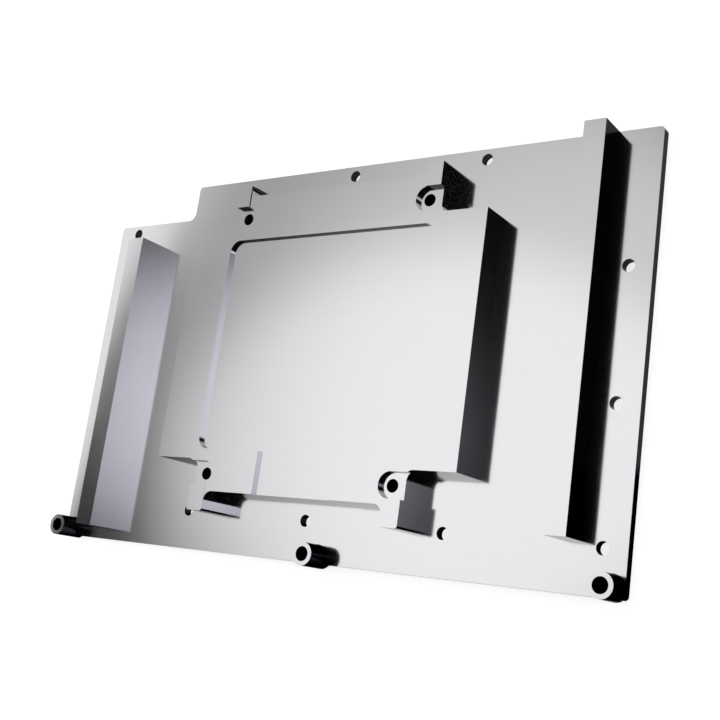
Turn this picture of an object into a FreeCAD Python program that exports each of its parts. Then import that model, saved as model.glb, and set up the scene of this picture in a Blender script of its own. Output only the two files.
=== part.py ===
"""Liquid cooling cold plate for a full-height accelerator card, milled in one piece from a copper plate.

The plate lies on its coolant side (Z = 0) with the contact side up. The front of the plate carries the
processor block with its pocket, four screw corners and four pads, a contact bar on each side and three
tubular standoffs along the lower edge. The coolant side holds a field of cooling fins between two header
channels, inside a groove for a sealing cord.
"""
import FreeCAD, Part
import math
import os
import Sketcher

UP = FreeCAD.Vector(0, 0, 1)

# Driving sizes in millimetres. Places are measured from the plate's lower left corner, seen from the
# contact side, unless the words say otherwise.
SIZES = [
    ("plate_length", 180.0, "plate, long side along X"),
    ("plate_width", 110.0, "plate, short side along Y"),
    ("plate_thickness", 2.7, "plate between its coolant side and its front"),
    ("plate_corner_radius", 1.0, "outer corners of the plate"),
    ("plate_foot_radius", 2.5, "the plate's lower left corner, inside a standoff"),
    ("step_length", 31.6, "step in the upper left corner, along X"),
    ("step_depth", 10.8, "step in the upper left corner, along Y"),
    ("mill_radius", 2.5, "inner corners left by the end mill"),
    ("block_place_x", 90.8, "centre of the processor block"),
    ("block_place_y", 57.5, "centre of the processor block"),
    ("block_length", 97.8, "processor block along X"),
    ("block_width", 66.1, "processor block along Y"),
    ("block_height", 8.1, "processor block and bars above the plate's front"),
    ("neck_length", 69.0, "narrower part that carries the screw corners, along X"),
    ("neck_reach_up", 43.5, "neck above the block's centre"),
    ("neck_reach_down", 41.8, "neck below the block's centre"),
    ("pad_reach", 47.3, "outer ends of the pads from the block's centre"),
    ("upper_pad_length", 4.6, "upper pads along X"),
    ("lower_pad_length", 5.3, "lower pads along X"),
    ("pad_rise", 0.25, "pads above the block"),
    ("pad_corner_radius", 0.6, "outer corners of the pads"),
    ("pocket_length", 68.8, "processor pocket along X"),
    ("pocket_width", 60.4, "processor pocket along Y"),
    ("pocket_depth", 1.1, "processor pocket below the block's top"),
    ("pocket_radius", 3.3, "corners of the processor pocket"),
    ("outlet_length", 25.0, "opening from the pocket to the lower edge, along X"),
    ("screw_pitch_x", 61.4, "processor screws, centre to centre along X"),
    ("screw_pitch_y", 74.0, "processor screws, centre to centre along Y"),
    ("screw_diameter", 3.3, "tapping drill of the processor screws"),
    ("screw_depth", 6.0, "processor screw holes below their seats"),
    ("seat_radius", 3.4, "round end of each screw seat"),
    ("seat_depth", 1.4, "screw seats below the block's top"),
    ("bar_left_place", 12.8, "left contact bar, its left side"),
    ("bar_left_length", 6.1, "left contact bar along X"),
    ("bar_left_foot", 3.2, "left contact bar, its lower end"),
    ("bar_left_width", 88.6, "left contact bar along Y"),
    ("bar_right_inset", 11.2, "right contact bar, its right side from the plate's right side"),
    ("bar_right_length", 5.6, "right contact bar along X"),
    ("bar_right_foot", 11.8, "right contact bar, its lower end"),
    ("standoff_diameter", 6.0, "outside of the standoffs"),
    ("standoff_bore", 3.8, "inside of the standoffs"),
    ("standoff_height", 6.3, "standoffs above the plate's front"),
    ("standoff_left_x", 2.6, "left standoff"),
    ("standoff_middle_x", 96.5, "middle standoff"),
    ("standoff_right_inset", 3.1, "right standoff, from the plate's right side"),
    ("standoff_corner_y", 2.4, "left and right standoffs"),
    ("standoff_middle_y", 1.9, "middle standoff"),
    ("standoff_fillet", 1.2, "where the standoffs meet the plate's edge"),
    ("cover_hole_diameter", 3.2, "clearance for the cover screws"),
    ("cover_left_inset", 7.5, "left column of cover screws, from the left side"),
    ("cover_right_inset", 5.9, "right column of cover screws, from the right side"),
    ("cover_lower_inset", 10.7, "lower row of cover screws, from the lower edge"),
    ("cover_upper_inset", 2.9, "upper row of cover screws, from the upper edge"),
    ("cover_pitch", 41.85, "cover screws of the lower and upper rows"),
    ("cover_left_pitch", 42.9, "cover screws of the left column"),
    ("cover_right_pitch", 32.6, "cover screws of the right column"),
    ("seal_offset", 5.8, "middle of the seal groove, from the cover screws"),
    ("seal_step_offset", 4.6, "middle of the seal groove, from the step"),
    ("seal_width", 2.2, "seal groove"),
    ("seal_depth", 1.5, "seal groove"),
    ("seal_radius", 5.0, "middle line of the seal groove in its corners"),
    ("fin_thickness", 0.6, "one cooling fin"),
    ("fin_gap", 0.6, "slot between two fins"),
    ("fin_height", 3.0, "fins and header channels, from the coolant side"),
    ("fin_field_length", 54.6, "fins and slots together, along X"),
    ("fin_width", 50.0, "fins along Y, between the header channels"),
    ("header_width", 6.0, "header channels along Y"),
]

# Places worked out from the driving sizes, each from cells above it.
PLACES = [
    ("base_line", "0"),
    ("step_side", "step_length"),
    ("step_floor", "plate_width - step_depth"),
    ("block_left", "block_place_x - block_length / 2"),
    ("block_right", "block_place_x + block_length / 2"),
    ("block_low", "block_place_y - block_width / 2"),
    ("block_high", "block_place_y + block_width / 2"),
    ("neck_left", "block_place_x - neck_length / 2"),
    ("neck_right", "block_place_x + neck_length / 2"),
    ("neck_low", "block_place_y - neck_reach_down"),
    ("neck_high", "block_place_y + neck_reach_up"),
    ("pad_low", "block_place_y - pad_reach"),
    ("pad_high", "block_place_y + pad_reach"),
    ("pad_upper_left", "neck_left + upper_pad_length"),
    ("pad_upper_right", "neck_right - upper_pad_length"),
    ("pad_lower_left", "neck_left + lower_pad_length"),
    ("pad_lower_right", "neck_right - lower_pad_length"),
    ("pocket_left", "block_place_x - pocket_length / 2"),
    ("pocket_right", "block_place_x + pocket_length / 2"),
    ("pocket_low", "block_place_y - pocket_width / 2"),
    ("pocket_high", "block_place_y + pocket_width / 2"),
    ("outlet_left", "block_place_x - outlet_length / 2"),
    ("outlet_right", "block_place_x + outlet_length / 2"),
    ("screw_left", "block_place_x - screw_pitch_x / 2"),
    ("screw_right", "block_place_x + screw_pitch_x / 2"),
    ("screw_low", "block_place_y - screw_pitch_y / 2"),
    ("screw_high", "block_place_y + screw_pitch_y / 2"),
    ("block_top", "plate_thickness + block_height"),
    ("pad_top", "block_top + pad_rise"),
    ("seat_floor", "block_top - seat_depth"),
    ("seat_cut", "seat_depth + pad_rise"),
    ("bar_left_side", "bar_left_place + bar_left_length"),
    ("bar_left_head", "bar_left_foot + bar_left_width"),
    ("bar_right_side", "plate_length - bar_right_inset"),
    ("bar_right_place", "bar_right_side - bar_right_length"),
    ("standoff_right_x", "plate_length - standoff_right_inset"),
    ("standoff_top", "plate_thickness + standoff_height"),
    ("cover_column_left", "cover_left_inset"),
    ("cover_column_right", "plate_length - cover_right_inset"),
    ("cover_row_low", "cover_lower_inset"),
    ("cover_row_high", "plate_width - cover_upper_inset"),
    ("cover_second", "cover_column_left + cover_pitch"),
    ("cover_third", "cover_column_left + 2 * cover_pitch"),
    ("cover_fourth", "cover_column_left + 3 * cover_pitch"),
    ("cover_left_middle", "cover_row_low + cover_left_pitch"),
    ("cover_left_high", "cover_row_low + 2 * cover_left_pitch"),
    ("cover_right_middle", "cover_row_low + cover_right_pitch"),
    ("cover_right_high", "cover_row_low + 2 * cover_right_pitch"),
    ("seal_outer_radius", "seal_radius + seal_width / 2"),
    ("seal_inner_radius", "seal_radius - seal_width / 2"),
    ("seal_outer_left", "cover_column_left + seal_offset - seal_width / 2"),
    ("seal_inner_left", "cover_column_left + seal_offset + seal_width / 2"),
    ("seal_outer_right", "cover_column_right - seal_offset + seal_width / 2"),
    ("seal_inner_right", "cover_column_right - seal_offset - seal_width / 2"),
    ("seal_outer_low", "cover_row_low + seal_offset - seal_width / 2"),
    ("seal_inner_low", "cover_row_low + seal_offset + seal_width / 2"),
    ("seal_outer_high", "cover_row_high - seal_offset + seal_width / 2"),
    ("seal_inner_high", "cover_row_high - seal_offset - seal_width / 2"),
    ("seal_outer_step_side", "step_side + seal_step_offset - seal_width / 2"),
    ("seal_inner_step_side", "step_side + seal_step_offset + seal_width / 2"),
    ("seal_outer_step_floor", "cover_left_high - seal_offset + seal_width / 2"),
    ("seal_inner_step_floor", "cover_left_high - seal_offset - seal_width / 2"),
    ("fin_pitch", "fin_thickness + fin_gap"),
    ("slot_count", "floor((fin_field_length + fin_thickness) / fin_pitch + 0.001)"),
    ("slot_span", "(slot_count - 1) * fin_pitch"),
    ("field_left", "block_place_x - (slot_span + fin_gap) / 2"),
    ("field_right", "block_place_x + (slot_span + fin_gap) / 2"),
    ("slot_side", "field_left + fin_gap"),
    ("fin_low", "block_place_y - fin_width / 2"),
    ("fin_high", "block_place_y + fin_width / 2"),
    ("header_low", "fin_low - header_width"),
    ("header_high", "fin_high + header_width"),
    ("middle_x", "(plate_length + min(0; standoff_left_x - standoff_diameter / 2)) / 2"),
    ("middle_y", "(plate_width + min(0; standoff_middle_y - standoff_diameter / 2)) / 2"),
]


def make_sheet(doc):
    """Write the driving sizes and the places that follow from them to a spreadsheet."""
    sheet = doc.addObject("Spreadsheet::Sheet", "sizes")
    row = 1
    for name, value, words in SIZES:
        sheet.set(f"A{row}", words)
        sheet.set(f"B{row}", str(value))
        sheet.setAlias(f"B{row}", name)
        row += 1
    for name, formula in PLACES:
        sheet.set(f"A{row}", name.replace("_", " "))
        sheet.set(f"B{row}", "=" + formula)
        sheet.setAlias(f"B{row}", name)
        row += 1
    doc.recompute()
    return sheet


def make_sketch(body, sheet, name, height="base_line"):
    """Add a sketch parallel to the body's XY plane, at the height that a cell gives."""
    plane = [item for item in body.Origin.OriginFeatures if item.Role == "XY_Plane"][0]
    sketch = body.newObject("Sketcher::SketchObject", name)
    sketch.AttachmentSupport = (plane, [""])
    sketch.MapMode = "FlatFace"
    sketch.setExpression("AttachmentOffset.Base.z", f"{sheet.Name}.{height}")
    sketch.Visibility = False
    return sketch


def bind(sketch, sheet, kind, references, cell):
    """Add one dimension to a sketch, driven by a cell."""
    index = sketch.addConstraint(Sketcher.Constraint(kind, *references, float(sheet.get(cell))))
    sketch.setExpression(f"Constraints[{index}]", f"{sheet.Name}.{cell}")


def place_point(sketch, sheet, geometry, point, cell_x, cell_y):
    """Tie a point to the sketch's origin by two cells."""
    bind(sketch, sheet, "DistanceX", (-1, 1, geometry, point), cell_x)
    bind(sketch, sheet, "DistanceY", (-1, 1, geometry, point), cell_y)


def draw_loop(sketch, sheet, edges, radii):
    """Draw a closed outline of lines that run along X and Y in turn, with round or sharp corners.

    Each edge is the cell with its place across its own direction, the first one upright. Each radius is
    the cell for the corner at the end of the edge with the same number, or None for a sharp corner.
    """
    count = len(edges)
    place = [float(sheet.get(cell)) for cell in edges]
    corners = []
    for number in range(count):
        following = place[(number + 1) % count]
        upright = number % 2 == 0
        corners.append(FreeCAD.Vector(place[number] if upright else following,
                                      following if upright else place[number], 0))
    rounding = [float(sheet.get(cell)) if cell else 0.0 for cell in radii]
    heading = []
    for number in range(count):
        heading.append((corners[number] - corners[number - 1]).normalize())

    lines = []
    for number in range(count):
        start = corners[number - 1] + heading[number] * rounding[number - 1]
        end = corners[number] - heading[number] * rounding[number]
        lines.append(sketch.addGeometry(Part.LineSegment(start, end), False))
        upright = number % 2 == 0
        sketch.addConstraint(Sketcher.Constraint("Vertical" if upright else "Horizontal", lines[number]))
        kind = "DistanceX" if upright else "DistanceY"
        bind(sketch, sheet, kind, (-1, 1, lines[number], 1), edges[number])

    for number in range(count):
        following = (number + 1) % count
        if radii[number] is None:
            sketch.addConstraint(Sketcher.Constraint("Coincident", lines[number], 2, lines[following], 1))
            continue
        radius = rounding[number]
        entry = corners[number] - heading[number] * radius
        centre = entry + heading[following] * radius
        leaving = corners[number] + heading[following] * radius
        turns_left = heading[number].cross(heading[following]).z > 0
        first, last = (entry, leaving) if turns_left else (leaving, entry)
        first_angle = math.atan2(first.y - centre.y, first.x - centre.x)
        last_angle = math.atan2(last.y - centre.y, last.x - centre.x)
        arc = sketch.addGeometry(Part.ArcOfCircle(Part.Circle(centre, UP, radius), first_angle, last_angle), False)
        entry_point, leaving_point = (1, 2) if turns_left else (2, 1)
        sketch.addConstraint(Sketcher.Constraint("Tangent", lines[number], 2, arc, entry_point))
        sketch.addConstraint(Sketcher.Constraint("Tangent", arc, leaving_point, lines[following], 1))
        bind(sketch, sheet, "Radius", (arc,), radii[number])


def draw_circles(sketch, sheet, centres, diameter):
    """Draw circles of one diameter at centres given by pairs of cells."""
    for cell_x, cell_y in centres:
        centre = FreeCAD.Vector(float(sheet.get(cell_x)), float(sheet.get(cell_y)), 0)
        radius = float(sheet.get(diameter)) / 2
        circle = sketch.addGeometry(Part.Circle(centre, UP, radius), False)
        place_point(sketch, sheet, circle, 3, cell_x, cell_y)
        bind(sketch, sheet, "Diameter", (circle,), diameter)


def draw_seat(sketch, sheet, cell_x, cell_y, mouth):
    """Draw a screw seat: a round end about the screw, open sideways to the neck's side."""
    centre = FreeCAD.Vector(float(sheet.get(cell_x)), float(sheet.get(cell_y)), 0)
    radius = float(sheet.get("seat_radius"))
    open_side = float(sheet.get(mouth))
    opens_left = open_side < centre.x
    top = FreeCAD.Vector(centre.x, centre.y + radius, 0)
    bottom = FreeCAD.Vector(centre.x, centre.y - radius, 0)
    quarter = math.pi / 2
    span = (-quarter, quarter) if opens_left else (quarter, 3 * quarter)
    arc = sketch.addGeometry(Part.ArcOfCircle(Part.Circle(centre, UP, radius), *span), False)
    top_end, bottom_end = (2, 1) if opens_left else (1, 2)
    upper = sketch.addGeometry(Part.LineSegment(top, FreeCAD.Vector(open_side, top.y, 0)), False)
    lower = sketch.addGeometry(Part.LineSegment(bottom, FreeCAD.Vector(open_side, bottom.y, 0)), False)
    closing = sketch.addGeometry(Part.LineSegment(FreeCAD.Vector(open_side, top.y, 0),
                                                  FreeCAD.Vector(open_side, bottom.y, 0)), False)
    sketch.addConstraint(Sketcher.Constraint("Tangent", arc, top_end, upper, 1))
    sketch.addConstraint(Sketcher.Constraint("Tangent", arc, bottom_end, lower, 1))
    sketch.addConstraint(Sketcher.Constraint("Coincident", upper, 2, closing, 1))
    sketch.addConstraint(Sketcher.Constraint("Coincident", closing, 2, lower, 2))
    sketch.addConstraint(Sketcher.Constraint("Horizontal", upper))
    sketch.addConstraint(Sketcher.Constraint("Horizontal", lower))
    sketch.addConstraint(Sketcher.Constraint("Vertical", closing))
    place_point(sketch, sheet, arc, 3, cell_x, cell_y)
    bind(sketch, sheet, "Radius", (arc,), "seat_radius")
    bind(sketch, sheet, "DistanceX", (-1, 1, closing, 1), mouth)


def add_pad(body, sheet, name, sketch, length):
    """Raise a sketch by the length that a cell or a formula of cells gives."""
    pad = body.newObject("PartDesign::Pad", name)
    pad.Profile = sketch
    pad.setExpression("Length", length)
    return pad


def add_pocket(doc, body, name, sketch, depth, upwards=False):
    """Sink a sketch into the body and make sure that it removes material."""
    before = body.Shape.Volume
    pocket = body.newObject("PartDesign::Pocket", name)
    pocket.Profile = sketch
    pocket.Reversed = upwards
    pocket.setExpression("Length", depth)
    doc.recompute()
    if body.Shape.Volume >= before:
        raise RuntimeError(f"{name} removes nothing")
    return pocket


def add_holes(doc, body, name, sketch, diameter, depth=None):
    """Drill the circles of a sketch downwards, through the part or to a depth with a drill point."""
    doc.recompute()
    before = body.Shape.Volume
    hole = body.newObject("PartDesign::Hole", name)
    hole.Profile = sketch
    hole.ThreadType = "None"
    hole.setExpression("Diameter", diameter)
    if depth is None:
        hole.DepthType = "ThroughAll"
    else:
        hole.DepthType = "Dimension"
        hole.setExpression("Depth", depth)
        hole.DrillPoint = "Angled"
        hole.DrillPointAngle = 118
    doc.recompute()
    if body.Shape.Volume >= before:
        raise RuntimeError(f"{name} removes nothing")
    return hole


def add_plate(doc, body, sheet):
    """Pad the base plate with the step in its upper left corner."""
    outline = make_sketch(body, sheet, "plate_outline")
    corner = "plate_corner_radius"
    foot = "plate_foot_radius"
    draw_loop(outline, sheet,
              ["plate_length", "plate_width", "step_side", "step_floor", "base_line", "base_line"],
              [corner, corner, "mill_radius", corner, foot, corner])
    add_pad(body, sheet, "plate", outline, "sizes.plate_thickness")
    doc.recompute()


def add_block(doc, body, sheet):
    """Raise the processor block with its neck, and the four pads a little higher."""
    outline = make_sketch(body, sheet, "block_outline", "plate_thickness")
    inner = "mill_radius"
    outer = "pad_corner_radius"
    draw_loop(outline, sheet,
              ["block_right", "block_high", "neck_right", "pad_high", "pad_upper_right", "neck_high",
               "pad_upper_left", "pad_high", "neck_left", "block_high", "block_left", "block_low",
               "neck_left", "pad_low", "pad_lower_left", "neck_low", "pad_lower_right", "pad_low",
               "neck_right", "block_low"],
              [None, inner, outer, outer, inner, inner, outer, outer, inner, None, None,
               inner, outer, outer, inner, inner, outer, outer, inner, None])
    add_pad(body, sheet, "block", outline, "sizes.block_height")

    pads = make_sketch(body, sheet, "pad_outlines", "block_top")
    draw_loop(pads, sheet, ["pad_upper_left", "pad_high", "neck_left", "screw_high"],
              [outer, outer, None, None])
    draw_loop(pads, sheet, ["neck_right", "pad_high", "pad_upper_right", "screw_high"],
              [outer, outer, None, None])
    draw_loop(pads, sheet, ["pad_lower_left", "screw_low", "neck_left", "pad_low"],
              [None, None, outer, outer])
    draw_loop(pads, sheet, ["neck_right", "screw_low", "pad_lower_right", "pad_low"],
              [None, None, outer, outer])
    add_pad(body, sheet, "pads", pads, "sizes.pad_rise")
    doc.recompute()


def add_bars(doc, body, sheet):
    """Raise the contact bars beside the block."""
    outlines = make_sketch(body, sheet, "bar_outlines", "plate_thickness")
    sharp = [None] * 4
    draw_loop(outlines, sheet, ["bar_left_side", "bar_left_head", "bar_left_place", "bar_left_foot"], sharp)
    draw_loop(outlines, sheet, ["bar_right_side", "plate_width", "bar_right_place", "bar_right_foot"], sharp)
    add_pad(body, sheet, "bars", outlines, "sizes.block_height")
    doc.recompute()


def add_standoffs(doc, body, sheet):
    """Raise the standoffs through the plate's lower edge, blend them into it and bore them."""
    centres = [("standoff_left_x", "standoff_corner_y"), ("standoff_middle_x", "standoff_middle_y"),
               ("standoff_right_x", "standoff_corner_y")]
    outlines = make_sketch(body, sheet, "standoff_outlines")
    draw_circles(outlines, sheet, centres, "standoff_diameter")
    standoffs = add_pad(body, sheet, "standoffs", outlines, "sizes.standoff_top")
    doc.recompute()

    fillet = body.newObject("PartDesign::Fillet", "standoff_blends")
    fillet.Base = (standoffs, find_standoff_seams(sheet, standoffs.Shape, centres))
    fillet.setExpression("Radius", "sizes.standoff_fillet")
    doc.recompute()

    bores = make_sketch(body, sheet, "standoff_bores_sketch", "standoff_top")
    draw_circles(bores, sheet, centres, "standoff_bore")
    add_holes(doc, body, "standoff_bores", bores, "sizes.standoff_bore")


def find_standoff_seams(sheet, shape, centres):
    """Name the upright edges where a standoff meets the plate's left or lower edge.

    The one beyond the last standoff stays sharp: the plate's corner leaves no room there.
    """
    radius = float(sheet.get("standoff_diameter")) / 2
    axes = [(float(sheet.get(cell_x)), float(sheet.get(cell_y))) for cell_x, cell_y in centres]
    last = max(x for x, y in axes)
    names = []
    for number, edge in enumerate(shape.Edges, start=1):
        foot, head = edge.Vertexes[0].Point, edge.Vertexes[-1].Point
        upright = math.hypot(foot.x - head.x, foot.y - head.y) < 1e-6
        on_outline = min(abs(foot.x), abs(foot.y)) < 1e-6
        on_standoff = any(abs(math.hypot(foot.x - x, foot.y - y) - radius) < 1e-6 for x, y in axes)
        if upright and on_outline and on_standoff and foot.x < last:
            names.append(f"Edge{number}")
    return names


def cut_pocket(doc, body, sheet):
    """Sink the processor pocket, and the outlet from it to the block's lower edge."""
    outline = make_sketch(body, sheet, "pocket_outline", "block_top")
    corner = "pocket_radius"
    draw_loop(outline, sheet, ["pocket_right", "pocket_high", "pocket_left", "pocket_low"],
              [corner, corner, corner, corner])
    add_pocket(doc, body, "pocket", outline, "sizes.pocket_depth")

    outlet = make_sketch(body, sheet, "outlet_outline", "block_top")
    draw_loop(outlet, sheet, ["outlet_right", "block_place_y", "outlet_left", "pad_low"], [None] * 4)
    add_pocket(doc, body, "outlet", outlet, "sizes.pocket_depth")


def cut_screw_seats(doc, body, sheet):
    """Cut the four screw seats into the neck and drill a blind hole in each."""
    centres = [("screw_left", "screw_low"), ("screw_right", "screw_low"),
               ("screw_left", "screw_high"), ("screw_right", "screw_high")]
    seats = make_sketch(body, sheet, "seat_outlines", "pad_top")
    for cell_x, cell_y in centres:
        mouth = "block_left" if cell_x == "screw_left" else "block_right"
        draw_seat(seats, sheet, cell_x, cell_y, mouth)
    add_pocket(doc, body, "seats", seats, "sizes.seat_cut")

    holes = make_sketch(body, sheet, "screw_sketch", "seat_floor")
    draw_circles(holes, sheet, centres, "screw_diameter")
    add_holes(doc, body, "screw_holes", holes, "sizes.screw_diameter", "sizes.screw_depth")


def drill_cover_holes(doc, body, sheet):
    """Drill the cover screw holes around the plate's edge."""
    sketch = make_sketch(body, sheet, "cover_sketch", "plate_thickness")
    centres = [("cover_column_left", "cover_row_low"), ("cover_second", "cover_row_low"),
               ("cover_third", "cover_row_low"), ("cover_fourth", "cover_row_low"),
               ("cover_third", "cover_row_high"), ("cover_fourth", "cover_row_high"),
               ("cover_column_left", "cover_left_middle"), ("cover_column_left", "cover_left_high"),
               ("cover_column_right", "cover_row_low"), ("cover_column_right", "cover_right_middle"),
               ("cover_column_right", "cover_right_high")]
    draw_circles(sketch, sheet, centres, "cover_hole_diameter")
    add_holes(doc, body, "cover_holes", sketch, "sizes.cover_hole_diameter")


def cut_seal_groove(doc, body, sheet):
    """Cut the groove for the sealing cord into the coolant side, inside the cover screws."""
    sketch = make_sketch(body, sheet, "seal_sketch")
    for side, wide, tight in (("outer", "seal_outer_radius", "seal_inner_radius"),
                              ("inner", "seal_inner_radius", "seal_outer_radius")):
        draw_loop(sketch, sheet,
                  [f"seal_{side}_right", f"seal_{side}_high", f"seal_{side}_step_side",
                   f"seal_{side}_step_floor", f"seal_{side}_left", f"seal_{side}_low"],
                  [wide, wide, tight, wide, wide, wide])
    add_pocket(doc, body, "seal_groove", sketch, "sizes.seal_depth", upwards=True)


def cut_fins(doc, body, sheet):
    """Cut the header channels into the coolant side, and the slots that leave the fins between them."""
    headers = make_sketch(body, sheet, "header_outlines")
    corner = "mill_radius"
    draw_loop(headers, sheet, ["field_right", "fin_low", "field_left", "header_low"],
              [None, None, corner, corner])
    draw_loop(headers, sheet, ["field_right", "header_high", "field_left", "fin_high"],
              [corner, corner, None, None])
    add_pocket(doc, body, "headers", headers, "sizes.fin_height", upwards=True)

    slot_sketch = make_sketch(body, sheet, "slot_outline")
    draw_loop(slot_sketch, sheet, ["slot_side", "fin_high", "field_left", "fin_low"], [None] * 4)
    slot = add_pocket(doc, body, "slot", slot_sketch, "sizes.fin_height", upwards=True)

    before = body.Shape.Volume
    slots = body.newObject("PartDesign::LinearPattern", "slots")
    slots.Originals = [slot]
    slots.Direction = (slot_sketch, ["H_Axis"])
    slots.setExpression("Length", "sizes.slot_span")
    slots.setExpression("Occurrences", "sizes.slot_count")
    body.Tip = slots
    doc.recompute()
    if body.Shape.Volume >= before:
        raise RuntimeError("the slots remove nothing")


def check_document(doc, body):
    """Stop if any object failed or the part isn't one valid solid."""
    for item in doc.Objects:
        if "Invalid" in item.State or "Error" in item.State:
            raise RuntimeError(f"{item.Name} failed: {item.State}")
    shape = body.Shape
    if shape.isNull() or not shape.isValid() or len(shape.Solids) != 1:
        raise RuntimeError(f"{body.Label} isn't one valid solid")


def main():
    """Build the cold plate and write it to parts/cold_plate.step."""
    doc = FreeCAD.newDocument("cold_plate_model")
    sheet = make_sheet(doc)
    body = doc.addObject("PartDesign::Body", "cold_plate")
    body.Label = "cold_plate"

    add_plate(doc, body, sheet)
    add_block(doc, body, sheet)
    add_bars(doc, body, sheet)
    add_standoffs(doc, body, sheet)
    cut_pocket(doc, body, sheet)
    cut_screw_seats(doc, body, sheet)
    drill_cover_holes(doc, body, sheet)
    cut_seal_groove(doc, body, sheet)
    cut_fins(doc, body, sheet)

    # The origin is the middle of the part's outline, on the coolant side.
    body.setExpression("Placement.Base.x", "-sizes.middle_x")
    body.setExpression("Placement.Base.y", "-sizes.middle_y")
    doc.recompute()
    check_document(doc, body)

    os.makedirs("parts", exist_ok=True)
    body.Shape.exportStep(f"parts/{body.Label}.step")
    print(f"volume {body.Shape.Volume:.0f} mm3, box {body.Shape.BoundBox}")


main()
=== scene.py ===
"""Looks of a cold plate milled from one piece of copper and nickel plated: finish, threads, studio, camera."""
import logging
import math
from dataclasses import dataclass, field
from enum import Enum
from typing import Any, Dict, List, Optional, Sequence, Tuple

import bmesh
import bpy
from mathutils import Matrix, Vector


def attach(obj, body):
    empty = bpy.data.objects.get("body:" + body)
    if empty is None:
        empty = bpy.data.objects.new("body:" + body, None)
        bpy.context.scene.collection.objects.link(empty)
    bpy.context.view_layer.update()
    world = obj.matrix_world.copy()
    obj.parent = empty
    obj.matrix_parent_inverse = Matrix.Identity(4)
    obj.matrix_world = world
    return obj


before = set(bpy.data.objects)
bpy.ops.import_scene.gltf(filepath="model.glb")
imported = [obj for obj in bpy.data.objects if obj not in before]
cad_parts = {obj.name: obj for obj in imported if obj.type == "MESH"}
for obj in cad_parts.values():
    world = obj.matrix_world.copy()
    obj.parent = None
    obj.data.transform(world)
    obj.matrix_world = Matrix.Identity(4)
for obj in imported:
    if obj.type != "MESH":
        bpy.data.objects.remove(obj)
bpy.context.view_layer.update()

LOG = logging.getLogger("cold_plate")
MM = 0.001
WELD = 1e-7
BODY = "root"
PLATE_NODE = "cold_plate"

Triple = Tuple[float, float, float]


class Ray(Enum):
    """The kinds of ray that see the floor as paper white: the eye's own, and what gloss and glass carry."""

    CAMERA = "Is Camera Ray"
    GLOSSY = "Is Glossy Ray"
    TRANSMISSION = "Is Transmission Ray"


def linear(hex_colour: str) -> Tuple[float, float, float, float]:
    """Turn an sRGB hex colour to linear RGBA.

    Args:
        hex_colour: A colour such as "#C0C0C0".

    Returns:
        Red, green and blue from 0 to 1 in linear light, and an alpha of 1.
    """
    channels = []
    for start in (1, 3, 5):
        value = int(hex_colour[start:start + 2], 16) / 255
        channels.append(value / 12.92 if value <= 0.04045 else ((value + 0.055) / 1.055) ** 2.4)
    return channels[0], channels[1], channels[2], 1.0


def add_node(tree: bpy.types.NodeTree, kind: str, inputs: Optional[Dict[Any, Any]] = None,
             **settings: Any) -> bpy.types.Node:
    """Add one node with its settings, values and links.

    Args:
        tree: The tree that gets the node.
        kind: The node's type, such as "ShaderNodeMath".
        inputs: Input name or number to a value, or to the output socket that feeds it.
        **settings: Properties of the node, set before its inputs.

    Returns:
        The new node.
    """
    node = tree.nodes.new(kind)
    for name, value in settings.items():
        setattr(node, name, value)
    for name, value in (inputs or {}).items():
        if isinstance(value, bpy.types.NodeSocket):
            tree.links.new(value, node.inputs[name])
        else:
            node.inputs[name].default_value = value
    return node


@dataclass(frozen=True)
class Zones:
    """Where the steep walls, the cuts with painted shade and the darkest of that shade lie, each from 0 to 1
    over the surface.
    """

    wall: bpy.types.NodeSocket
    cut: bpy.types.NodeSocket
    deepest_shade: bpy.types.NodeSocket


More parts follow.
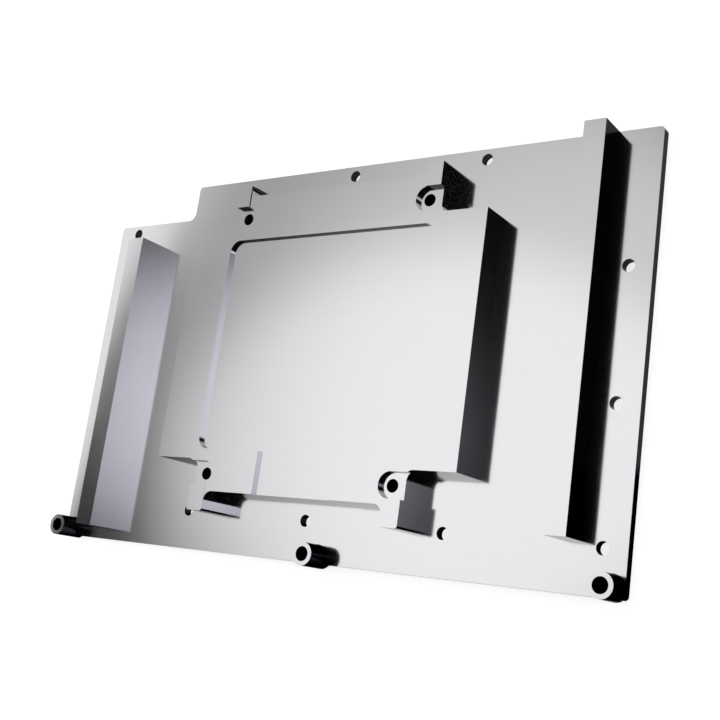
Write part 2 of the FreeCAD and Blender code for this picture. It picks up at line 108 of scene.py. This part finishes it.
@dataclass(frozen=True)
class NickelPlate:
    """Electroless nickel over milled copper: a soft mirror on flats, with painted shade on steep walls and
    darker painted shade in cuts.
    """

    name: str = "nickel_plated_copper_milled"
    face_hex: str = "#DADBDC"
    wall_shade_hex: str = "#A0A1A3"
    cut_shade_hex: str = "#26282B"
    grazing_hex: str = "#FFFFFF"
    shaded_grazing_hex: str = "#C0C1C2"
    deepest_shaded_grazing_hex: str = "#303133"
    face_roughness: float = 0.115
    wall_roughness: float = 0.10
    cut_roughness: float = 0.20
    cloud_spread: float = 0.006
    cloud_size_mm: float = 9.0
    cloud_detail: float = 2.0
    mark_spread: float = 0.012
    mark_spacing_mm: float = 0.8
    mark_length_mm: float = 30.0
    noise_range: Tuple[float, float] = (0.3, 0.7)
    wall_normal_z: Tuple[float, float] = (0.75, 0.55)
    plate_top_mm: float = 2.7
    outer_wall_mm: float = 79.0
    front_fade_mm: Tuple[float, float] = (-24.5, -33.0)
    seam_mm: float = 0.08

    def build(self, bores: Sequence[Triple], posts: Sequence[Triple]) -> bpy.types.Material:
        """Make the material.

        Args:
            bores: Middle and radius of each blind hole, in millimetres.
            posts: Middle and radius of each standoff, in millimetres.

        Returns:
            A metal whose sheen drifts a little over some millimetres, with painted shade from flat to wall to
            cut.
        """
        material = bpy.data.materials.new(self.name)
        material.use_nodes = True
        tree = material.node_tree
        tree.nodes.clear()
        coordinates = add_node(tree, "ShaderNodeTexCoord")
        place = coordinates.outputs["Object"]
        zones = self._zones(tree, place, coordinates.outputs["Normal"], bores, posts)
        # Painted shade on reflection: the specular tint dims the grazing reflection in the cuts, and most in
        # the darkest of them.
        grazing = self._blend(tree, linear(self.grazing_hex), linear(self.shaded_grazing_hex), zones.cut)
        grazing = self._blend(tree, grazing, linear(self.deepest_shaded_grazing_hex), zones.deepest_shade)
        shader = add_node(tree, "ShaderNodeBsdfPrincipled", {
            "Base Color": self._colour(tree, place, zones), "Metallic": 1.0,
            "Roughness": self._sheen(tree, place, zones), "Specular Tint": grazing})
        add_node(tree, "ShaderNodeOutputMaterial", {"Surface": shader.outputs["BSDF"]})
        return material

    def _zones(self, tree: bpy.types.NodeTree, place: bpy.types.NodeSocket, normal: bpy.types.NodeSocket,
               bores: Sequence[Triple], posts: Sequence[Triple]) -> Zones:
        """Tell the flats, the steep walls and the cuts apart.

        Args:
            tree: The material's nodes.
            place: The point in the object's coordinates.
            normal: The surface's normal there.
            bores: Middle and radius of each blind hole, in millimetres.
            posts: Middle and radius of each standoff, in millimetres.

        Returns:
            The zones.
        """
        # The steep walls get a darker colour than the flats: painted shade.
        upright = add_node(tree, "ShaderNodeSeparateXYZ", {"Vector": normal}).outputs["Z"]
        upright = self._join(tree, "ABSOLUTE", upright)
        wall = add_node(tree, "ShaderNodeMapRange", {
            "Value": upright, "From Min": self.wall_normal_z[0], "From Max": self.wall_normal_z[1]})
        wall = wall.outputs["Result"]
        # Painted shade: the sawn rim, the right bar's outer wall and the drilled holes are coloured dark.
        spot = add_node(tree, "ShaderNodeSeparateXYZ", {"Vector": place})
        under_top = self._past(tree, spot.outputs["Z"], self.plate_top_mm, self.plate_top_mm - self.seam_mm)
        outer = self._past(tree, spot.outputs["X"], self.outer_wall_mm - self.seam_mm, self.outer_wall_mm)
        shaded_rim = self._join(tree, "MULTIPLY", self._join(tree, "MAXIMUM", under_top, outer), wall)
        # More painted shade goes into the blind holes and round the standoffs, down to the ledge at their
        # feet.
        ledge = self._past(tree, spot.outputs["Z"], self.plate_top_mm + self.seam_mm, self.plate_top_mm)
        ledge = self._join(tree, "MAXIMUM", ledge, wall)
        round_posts = self._join(tree, "MULTIPLY", self._inside(tree, place, posts), ledge)
        shaded_bores_and_posts = self._join(tree, "MAXIMUM", round_posts, self._inside(tree, place, bores))
        # The painted shade on the rim grows darker toward the plate's front.
        front = self._past(tree, spot.outputs["Y"], *self.front_fade_mm)
        front_rim_shade = self._join(tree, "MULTIPLY", shaded_rim, front)
        return Zones(wall, self._join(tree, "MAXIMUM", shaded_rim, shaded_bores_and_posts),
                     self._join(tree, "MAXIMUM", front_rim_shade, shaded_bores_and_posts))

    def _colour(self, tree: bpy.types.NodeTree, place: bpy.types.NodeSocket,
                zones: Zones) -> bpy.types.NodeSocket:
        """Colour the zones with painted shade on walls and cuts, and draw the feed marks.

        Args:
            tree: The material's nodes.
            place: The point in the object's coordinates.
            zones: The kinds of face.

        Returns:
            The metal's colour.
        """
        # Painted shade: a darker colour on the steep walls, and a dark one in the cuts.
        colour = self._blend(tree, linear(self.face_hex), linear(self.wall_shade_hex), zones.wall)
        colour = self._blend(tree, colour, linear(self.cut_shade_hex), zones.cut)
        # The end mill's feed marks run along the faces and up the walls. They are really about 0.1 mm apart,
        # too fine to show, and are drawn eight times as coarse. They give the eye a faint grain.
        across, along = 1 / (self.mark_spacing_mm * MM), 1 / (self.mark_length_mm * MM)
        spacing = self._blend(tree, (along, across, across, 1.0), (across, across, along, 1.0), zones.wall)
        lines = add_node(tree, "ShaderNodeVectorMath", {0: place, 1: spacing}, operation="MULTIPLY")
        marks = self._noise(tree, lines.outputs["Vector"], (0.0, self.mark_spread), {"Scale": 1.0})
        return self._blend(tree, colour, (0.0, 0.0, 0.0, 1.0), marks)

    def _sheen(self, tree: bpy.types.NodeTree, place: bpy.types.NodeSocket,
               zones: Zones) -> bpy.types.NodeSocket:
        """Roughen the zones, with faint clouds about as wide as a fingertip that the bath leaves.

        Args:
            tree: The material's nodes.
            place: The point in the object's coordinates.
            zones: The kinds of face.

        Returns:
            The metal's roughness.
        """
        drift = self._noise(tree, place, (-self.cloud_spread, self.cloud_spread), {
            "Scale": 1 / (self.cloud_size_mm * MM), "Detail": self.cloud_detail})
        sheen = add_node(tree, "ShaderNodeMapRange", {
            "Value": zones.wall, "To Min": self.face_roughness, "To Max": self.wall_roughness})
        sheen = add_node(tree, "ShaderNodeMapRange", {
            "Value": zones.cut, "To Min": sheen.outputs["Result"], "To Max": self.cut_roughness})
        return self._join(tree, "ADD", sheen.outputs["Result"], drift)

    def _noise(self, tree: bpy.types.NodeTree, place: bpy.types.NodeSocket, span: Tuple[float, float],
               grain: Dict[str, float]) -> bpy.types.NodeSocket:
        """Spread a noise over a span of values.

        Args:
            tree: The material's nodes.
            place: Where the noise is read.
            span: The least and the greatest value that it mostly takes.
            grain: The noise's own inputs, such as its scale.

        Returns:
            The value.
        """
        noise = add_node(tree, "ShaderNodeTexNoise", {"Vector": place, **grain})
        return add_node(tree, "ShaderNodeMapRange", {
            "Value": noise.outputs["Fac"], "From Min": self.noise_range[0], "From Max": self.noise_range[1],
            "To Min": span[0], "To Max": span[1]}).outputs["Result"]

    @staticmethod
    def _blend(tree: bpy.types.NodeTree, first: Any, second: Any,
               share: bpy.types.NodeSocket) -> bpy.types.NodeSocket:
        """Blend two colours or scales, each a value or a socket, by a share from 0 to 1."""
        return add_node(tree, "ShaderNodeMixRGB", {
            "Fac": share, "Color1": first, "Color2": second}).outputs["Color"]

    @staticmethod
    def _join(tree: bpy.types.NodeTree, operation: str, first: Any,
              second: Any = 0.0) -> bpy.types.NodeSocket:
        """Join two values or sockets by an operation of the Math node."""
        return add_node(tree, "ShaderNodeMath", {0: first, 1: second}, operation=operation).outputs["Value"]

    @staticmethod
    def _past(tree: bpy.types.NodeTree, value: bpy.types.NodeSocket,
              start_mm: float, end_mm: float) -> bpy.types.NodeSocket:
        """Tell how far a coordinate has gone from one place to another, from 0 to 1."""
        return add_node(tree, "ShaderNodeMapRange", {
            "Value": value, "From Min": start_mm * MM, "From Max": end_mm * MM}).outputs["Result"]

    @staticmethod
    def _inside(tree: bpy.types.NodeTree, place: bpy.types.NodeSocket,
                rounds: Sequence[Triple]) -> bpy.types.NodeSocket:
        """Tell whether a point lies inside one of some upright round posts or holes.

        Args:
            tree: The material's nodes.
            place: The point in the object's coordinates.
            rounds: Middle and radius of each, in millimetres.

        Returns:
            1 inside and 0 outside.
        """
        flat = add_node(tree, "ShaderNodeVectorMath", {0: place, 1: (1.0, 1.0, 0.0)}, operation="MULTIPLY")
        inside: Any = 0.0
        for x, y, radius in rounds:
            reach = add_node(tree, "ShaderNodeVectorMath", {
                0: flat.outputs["Vector"], 1: (x * MM, y * MM, 0.0)}, operation="DISTANCE")
            hit = NickelPlate._join(tree, "LESS_THAN", reach.outputs["Value"], radius * MM)
            inside = NickelPlate._join(tree, "MAXIMUM", inside, hit)
        return inside


@dataclass
class ColdPlate:
    """The milled plate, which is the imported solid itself, and the threads in its blind holes."""

    finish: NickelPlate = field(default_factory=NickelPlate)
    screw_centre_mm: Tuple[float, float] = (1.0, 3.05)
    screw_pitch_mm: Tuple[float, float] = (61.4, 74.0)
    seat_floor_mm: float = 9.4
    hole_radius_mm: float = 1.65
    post_centres_mm: Sequence[Tuple[float, float]] = ((-87.2, -52.05), (6.7, -52.55), (87.1, -52.05))
    post_radius_mm: float = 3.0
    post_ledge_mm: float = 0.12
    round_margin_mm: float = 0.05
    thread_height_mm: float = 0.16
    thread_pitch_mm: float = 0.7
    thread_turns: int = 7
    thread_section: Sequence[Tuple[float, float]] = ((0.0, 0.5), (1.0, 0.9), (0.0, 1.3))
    steps_per_turn: int = 24

    def screw_centres(self) -> List[Tuple[float, float]]:
        """Give the middles of the four blind holes, in millimetres."""
        return [(self.screw_centre_mm[0] + side_x * self.screw_pitch_mm[0],
                 self.screw_centre_mm[1] + side_y * self.screw_pitch_mm[1])
                for side_x in (-0.5, 0.5) for side_y in (-0.5, 0.5)]

    def dress(self) -> bpy.types.Material:
        """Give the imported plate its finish.

        Returns:
            The finish, for the other pieces of the same metal.
        """
        bores = [(*centre, self.hole_radius_mm + self.round_margin_mm) for centre in self.screw_centres()]
        posts = [(*centre, self.post_radius_mm + self.post_ledge_mm) for centre in self.post_centres_mm]
        material = self.finish.build(bores, posts)
        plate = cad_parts[PLATE_NODE]
        plate.data.materials.clear()
        plate.data.materials.append(material)
        LOG.info("%s dressed in %s", PLATE_NODE, material.name)
        return material

    def build_threads(self, material: bpy.types.Material) -> bpy.types.Object:
        """Wind a thread's ridge down each of the four blind holes.

        Args:
            material: The finish of the plate.

        Returns:
            One object with the four ridges.
        """
        mesh = bmesh.new()
        for centre in self.screw_centres():
            self._wind_ridge(mesh, Vector((*centre, self.seat_floor_mm)) * MM)
        bmesh.ops.remove_doubles(mesh, verts=mesh.verts, dist=WELD)
        bmesh.ops.recalc_face_normals(mesh, faces=mesh.faces)
        data = bpy.data.meshes.new("screw_threads")
        mesh.to_mesh(data)
        mesh.free()
        data.materials.append(material)
        threads = bpy.data.objects.new("screw_threads", data)
        bpy.context.scene.collection.objects.link(threads)
        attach(threads, BODY)
        LOG.info("%s wound, %d faces", threads.name, len(data.polygons))
        return threads

    def _wind_ridge(self, mesh: bmesh.types.BMesh, mouth: Vector) -> None:
        """Wind one ridge of triangular section down a hole.

        Args:
            mesh: The mesh that gets the ridge.
            mouth: The middle of the hole's mouth, in metres.
        """
        pitch = self.thread_pitch_mm * MM
        # Each corner of the section has its height over the hole's wall and its depth in pitches.
        section = [mesh.verts.new(mouth + Vector((
            (self.hole_radius_mm - height * self.thread_height_mm) * MM, 0, -depth * pitch)))
            for height, depth in self.thread_section]
        start = mesh.faces.new(section)
        steps = self.thread_turns * self.steps_per_turn
        end = bmesh.ops.spin(mesh, geom=[start, *start.edges, *section], cent=mouth, axis=(0, 0, 1),
                             dvec=(0, 0, -pitch / self.steps_per_turn),
                             angle=self.thread_turns * 2 * math.pi, steps=steps, use_duplicate=False)
        LOG.debug("ridge ends in %d elements", len(end["geom_last"]))


@dataclass(frozen=True)
class SoftLight:
    """A soft round light of the studio, far enough away to be a patch of the sky."""

    name: str
    towards: Triple
    full_deg: float
    fade_deg: float
    strength: float
    tint_hex: str = "#FFFFFF"


@dataclass
class Studio:
    """Plain soft studio: a pale backdrop all round, soft lights above, a white floor and the camera."""

    far_lights: Sequence[SoftLight] = (
        SoftLight("back_wall", (-0.248, 0.968, 0.045), 32.0, 67.7, 0.255),
        SoftLight("left_wall", (-0.749, 0.341, 0.568), 0.0, 8.8, 0.692),
        SoftLight("side_box", (0.646, 0.137, 0.751), 0.9, 11.7, 0.796, "#FAF5FF"),
        SoftLight("side_core", (0.696, 0.152, 0.702), 0.1, 9.9, 1.843, "#FAF5FF"),
        SoftLight("top_fill", (0.0, 0.0, 1.0), 10.0, 17.0, 0.50),
        SoftLight("back_fill", (0.05, 0.68, 0.73), 12.0, 22.0, 0.95),
    )
    overhead_lights: Sequence[SoftLight] = (
        SoftLight("overhead_box", (-0.330, 0.125, 0.936), 13.3, 29.5, 0.449),
        SoftLight("overhead_core", (-0.467, 0.007, 0.884), 16.6, 22.5, 0.370),
        SoftLight("overhead_spill", (-0.500, 0.236, 0.833), 15.6, 24.0, 0.353),
    )
    overhead_towards: Triple = (-0.45, 0.13, 0.883)
    overhead_distance: float = 1.009
    overhead_radius: float = 0.80
    overhead_sides: int = 64
    backdrop_strength: float = 1.0
    backdrop_full_deg: float = 29.0
    backdrop_fade_deg: float = 36.0
    card_centre: Triple = (-0.200, 0.065, 0.095)
    card_size: Tuple[float, float] = (0.43, 0.17)
    card_edge: float = 0.1077
    card_slope: float = 0.202
    card_fade: float = 0.0186
    card_strength: float = 1.043
    floor_radius: float = 3.0
    floor_sides: int = 96
    floor_drop: float = 0.00005
    floor_hex: str = "#F4F4F4"
    floor_lift: float = 0.60
    floor_glow: float = 0.80
    camera_place: Triple = (0.18461843, -0.06262084, 0.23779569)
    camera_turn_deg: Triple = (17.531149, 34.273636, 9.499330)
    lens_mm: float = 56.4272
    clip_m: Tuple[float, float] = (0.01, 20.0)

    def build_world(self) -> None:
        """Light the scene from a studio whose lights are soft patches on a dark ceiling."""
        world = bpy.data.worlds.new("studio")
        bpy.context.scene.world = world
        world.use_nodes = True
        tree = world.node_tree
        tree.nodes.clear()
        direction = add_node(tree, "ShaderNodeTexCoord").outputs["Generated"]
        height = add_node(tree, "ShaderNodeSeparateXYZ", {"Vector": direction}).outputs["Z"]
        band = add_node(tree, "ShaderNodeMapRange", {
            "Value": height, "From Min": math.sin(math.radians(self.backdrop_fade_deg)),
            "From Max": math.sin(math.radians(self.backdrop_full_deg)),
            "To Min": 0.0, "To Max": self.backdrop_strength}, interpolation_type="SMOOTHSTEP")
        backdrop = add_node(tree, "ShaderNodeCombineXYZ", {
            axis: band.outputs["Result"] for axis in ("X", "Y", "Z")})
        total: Any = (0.0, 0.0, 0.0)
        for light in self.far_lights:
            total = self._add_light(tree, direction, total, light)
        total = add_node(tree, "ShaderNodeVectorMath", {
            0: total, 1: backdrop.outputs["Vector"]}, operation="MAXIMUM").outputs["Vector"]
        sky = add_node(tree, "ShaderNodeBackground", {"Color": total, "Strength": 1.0})
        add_node(tree, "ShaderNodeOutputWorld", {"Surface": sky.outputs["Background"]})
        LOG.info("studio lit by %d far soft lights", len(self.far_lights))

    @staticmethod
    def _add_light(tree: bpy.types.NodeTree, direction: bpy.types.NodeSocket,
                   total: Any, light: SoftLight) -> bpy.types.NodeSocket:
        """Add one soft light to the studio's light so far.

        Args:
            tree: The world's nodes.
            direction: The direction that is looked in.
            total: The light so far, as red, green and blue or the socket that gives them.
            light: The light to add.

        Returns:
            The new light so far.
        """
        towards = Vector(light.towards).normalized()
        near = add_node(tree, "ShaderNodeVectorMath", {0: direction, 1: towards}, operation="DOT_PRODUCT")
        fade = add_node(tree, "ShaderNodeMapRange", {
            "Value": near.outputs["Value"], "From Min": math.cos(math.radians(light.fade_deg)),
            "From Max": math.cos(math.radians(light.full_deg)),
            "To Min": 0.0, "To Max": light.strength}, interpolation_type="SMOOTHSTEP")
        glow = add_node(tree, "ShaderNodeVectorMath", {
            0: linear(light.tint_hex)[:3], "Scale": fade.outputs["Result"]}, operation="SCALE")
        added = add_node(tree, "ShaderNodeVectorMath", {
            0: total, 1: glow.outputs["Vector"]}, operation="ADD")
        return added.outputs["Vector"]

    def build_floor(self) -> bpy.types.Object:
        """Lay the white floor.

        Returns:
            The floor.
        """
        mesh = bmesh.new()
        bmesh.ops.create_circle(mesh, cap_ends=True, segments=self.floor_sides, radius=self.floor_radius,
                                matrix=Matrix.Translation((0, 0, -self.floor_drop)))
        data = bpy.data.meshes.new("floor")
        mesh.to_mesh(data)
        mesh.free()
        data.materials.append(self._paper())
        floor = bpy.data.objects.new("floor", data)
        bpy.context.scene.collection.objects.link(floor)
        LOG.info("%s laid", floor.name)
        return floor

    def _paper(self) -> bpy.types.Material:
        """Make the floor's matt white paper, lifted to white for the eye and for gloss, shadows kept."""
        material = bpy.data.materials.new("studio_paper_matt")
        material.use_nodes = True
        tree = material.node_tree
        tree.nodes.clear()
        path = add_node(tree, "ShaderNodeLightPath")
        seen = path.outputs[Ray.CAMERA.value]
        for ray in (Ray.GLOSSY, Ray.TRANSMISSION):
            seen = add_node(tree, "ShaderNodeMath", {0: seen, 1: path.outputs[ray.value]},
                            operation="MAXIMUM").outputs["Value"]
        paper = linear(self.floor_hex)[:3]
        lift = add_node(tree, "ShaderNodeMapRange", {
            "Value": seen, "To Min": 1.0, "To Max": self.floor_lift})
        colour = add_node(tree, "ShaderNodeVectorMath", {
            0: paper, "Scale": lift.outputs["Result"]}, operation="SCALE")
        matt = add_node(tree, "ShaderNodeBsdfDiffuse", {"Color": colour.outputs["Vector"]})
        glow = add_node(tree, "ShaderNodeMath", {0: seen, 1: self.floor_glow}, operation="MULTIPLY")
        white = add_node(tree, "ShaderNodeEmission", {"Strength": glow.outputs["Value"]})
        shader = add_node(tree, "ShaderNodeAddShader", {
            0: matt.outputs["BSDF"], 1: white.outputs["Emission"]})
        add_node(tree, "ShaderNodeOutputMaterial", {"Surface": shader.outputs["Shader"]})
        return material

    def build_overhead(self) -> bpy.types.Object:
        """Hang the round soft box over the plate, near enough for raised faces to mirror another part of it.

        Returns:
            The soft box.
        """
        towards = Vector(self.overhead_towards).normalized()
        mesh = bmesh.new()
        hung = (Matrix.Translation(towards * self.overhead_distance)
                @ towards.to_track_quat("Z", "Y").to_matrix().to_4x4())
        bmesh.ops.create_circle(mesh, cap_ends=True, segments=self.overhead_sides,
                                radius=self.overhead_radius, matrix=hung)
        material = bpy.data.materials.new("studio_soft_box_lit")
        material.use_nodes = True
        tree = material.node_tree
        tree.nodes.clear()
        place = add_node(tree, "ShaderNodeTexCoord").outputs["Object"]
        direction = add_node(tree, "ShaderNodeVectorMath", {0: place}, operation="NORMALIZE").outputs["Vector"]
        total: Any = (0.0, 0.0, 0.0)
        for light in self.overhead_lights:
            total = self._add_light(tree, direction, total, light)
        lit = add_node(tree, "ShaderNodeEmission", {"Color": total, "Strength": 1.0})
        clear = add_node(tree, "ShaderNodeBsdfTransparent")
        face = add_node(tree, "ShaderNodeAddShader", {0: lit.outputs["Emission"], 1: clear.outputs["BSDF"]})
        add_node(tree, "ShaderNodeOutputMaterial", {"Surface": face.outputs["Shader"]})
        return self._hang(mesh, "overhead_soft_box", material)

    def build_card(self) -> bpy.types.Object:
        """Stand a lit white card close to the plate's left side.

        Returns:
            The card.
        """
        width, height = self.card_size
        mesh = bmesh.new()
        bmesh.ops.create_grid(mesh, x_segments=1, y_segments=1, size=0.5, matrix=(
            Matrix.Translation(self.card_centre) @ Matrix.Rotation(math.pi / 2, 4, "Y")
            @ Matrix.Diagonal((height, width, 1.0, 1.0))))
        return self._hang(mesh, "left_card", self._card_face())

    @staticmethod
    def _hang(mesh: bmesh.types.BMesh, name: str, material: bpy.types.Material) -> bpy.types.Object:
        """Put up a lit card that the camera doesn't see and that casts no shadow.

        Args:
            mesh: The card's shape, which is used up.
            name: The card's name.
            material: Its lit face.

        Returns:
            The card.
        """
        data = bpy.data.meshes.new(name)
        mesh.to_mesh(data)
        mesh.free()
        data.materials.append(material)
        card = bpy.data.objects.new(name, data)
        bpy.context.scene.collection.objects.link(card)
        card.visible_camera = False
        card.visible_shadow = False
        LOG.info("%s put up", name)
        return card

    def _card_face(self) -> bpy.types.Material:
        """Make the card's lit face, which fades out over a slanting upper edge."""
        material = bpy.data.materials.new("studio_card_lit")
        material.use_nodes = True
        tree = material.node_tree
        tree.nodes.clear()
        place = add_node(tree, "ShaderNodeTexCoord").outputs["Object"]
        # How far the point lies under the slanting edge.
        under = add_node(tree, "ShaderNodeVectorMath", {
            0: place, 1: (0.0, self.card_slope, -1.0)}, operation="DOT_PRODUCT")
        share = add_node(tree, "ShaderNodeMapRange", {
            "Value": under.outputs["Value"], "From Min": -self.card_edge - self.card_fade / 2,
            "From Max": -self.card_edge + self.card_fade / 2}, interpolation_type="SMOOTHSTEP")
        clear = add_node(tree, "ShaderNodeBsdfTransparent")
        lit = add_node(tree, "ShaderNodeEmission", {"Strength": self.card_strength})
        face = add_node(tree, "ShaderNodeMixShader", {
            "Fac": share.outputs["Result"], 1: clear.outputs["BSDF"], 2: lit.outputs["Emission"]})
        add_node(tree, "ShaderNodeOutputMaterial", {"Surface": face.outputs["Shader"]})
        return material

    def build_camera(self) -> bpy.types.Object:
        """Set the camera at the photograph's viewing angle.

        Returns:
            The camera.
        """
        data = bpy.data.cameras.new("camera")
        data.lens = self.lens_mm
        data.clip_start, data.clip_end = self.clip_m
        camera = bpy.data.objects.new("camera", data)
        camera.location = self.camera_place
        camera.rotation_euler = [math.radians(angle) for angle in self.camera_turn_deg]
        bpy.context.scene.collection.objects.link(camera)
        bpy.context.scene.camera = camera
        bpy.context.scene.view_settings.view_transform = "Standard"
        return camera


def main() -> None:
    """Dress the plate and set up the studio."""
    logging.basicConfig(level=logging.INFO, format="%(name)s: %(message)s")
    plate = ColdPlate()
    plate.build_threads(plate.dress())
    studio = Studio()
    studio.build_world()
    studio.build_floor()
    studio.build_card()
    studio.build_overhead()
    studio.build_camera()


if __name__ == "__main__":
    main()
